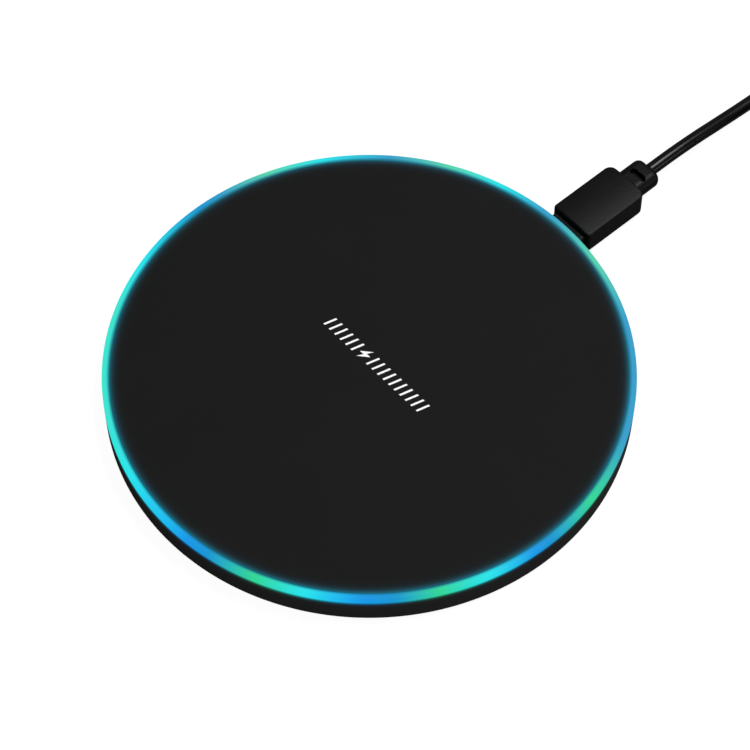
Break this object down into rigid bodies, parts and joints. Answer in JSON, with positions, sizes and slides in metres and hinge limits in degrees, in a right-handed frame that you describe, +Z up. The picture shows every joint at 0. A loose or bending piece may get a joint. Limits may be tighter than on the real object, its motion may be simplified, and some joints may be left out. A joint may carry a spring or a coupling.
{
  "type": "wireless charging pad",
  "caption": "Flat round wireless charging pad with a matte black cover, a lit rim and rubber feet, with its micro-USB to USB-A cable plugged in and the spare cord coiled.",
  "frame": {"origin": "on the floor under the middle of the round case, in the plane of the feet", "axes": "+Z up out of the charging face, +Y out of the cable port, +X the reading direction of the printed mark"},
  "size_m": [0.1119, 0.1926, 0.0076],
  "materials": {
    "cover_black": "smooth fine matte black with a soft-touch coat",
    "lit_ring": "clear light guide lit from inside, running through blue, cyan and green around the rim",
    "case_black": "fine matte black",
    "foot_rubber": "matte dark grey rubber",
    "screw_steel": "zinc plated",
    "board_green": "green solder mask",
    "foam_white": "white foam tape",
    "ferrite_grey": "dull dark grey ferrite",
    "litz_copper": "enamelled copper litz",
    "tape_amber": "amber film tape",
    "plated_shell": "nickel plated sheet steel",
    "contact_block": "black moulded nylon",
    "gilt_contact": "gold plated",
    "chip_black": "moulded epoxy",
    "ceramic_tan": "tan ceramic with tinned ends",
    "lamp_body": "white body with a clear window",
    "sensor_bead": "dark epoxy bead",
    "plug_black": "satin black PVC moulding",
    "cord_black": "glossy black PVC jacket",
    "tie_black": "black plastic tie with a wire core",
    "usb_a_block": "white nylon"
  },
  "bodies": {
    "pad": {"top_cover": "cover_black", "light_ring": "lit_ring", "bottom_case": "case_black", "foot_1": "foot_rubber", "foot_2": "foot_rubber", "foot_3": "foot_rubber", "foot_4": "foot_rubber", "case_screws": "screw_steel", "circuit_board": "board_green", "ferrite_pad": "foam_white", "ferrite_sheet": "ferrite_grey", "charging_coil": "litz_copper", "coil_leads": "litz_copper", "coil_tape": "tape_amber", "port_shell": "plated_shell", "port_tongue": "contact_block", "port_contacts": "gilt_contact", "controller_chip": "chip_black", "bridge_transistors": "chip_black", "resonant_capacitors": "ceramic_tan", "input_capacitors": "ceramic_tan", "chip_resistors": "chip_black", "sense_resistor": "chip_black", "rim_lamps": "lamp_body", "heat_sensor": "sensor_bead"},
    "cable": {"plug_grip": "plug_black", "plug_shell": "plated_shell", "plug_insulator": "contact_block", "plug_contacts": "gilt_contact", "plug_latches": "plated_shell", "cord_lead": "cord_black", "cord_coil": "cord_black", "cord_tail": "cord_black", "coil_tie": "tie_black", "usb_a_grip": "plug_black", "usb_a_shell": "plated_shell", "usb_a_insulator": "usb_a_block", "usb_a_contacts": "gilt_contact"}
  },
  "joints": [
    {"name": "plug_pull", "type": "slide", "parent": "pad", "child": "cable", "axis": [0, 1, 0], "range_m": [0, 0.012]}
  ]
}
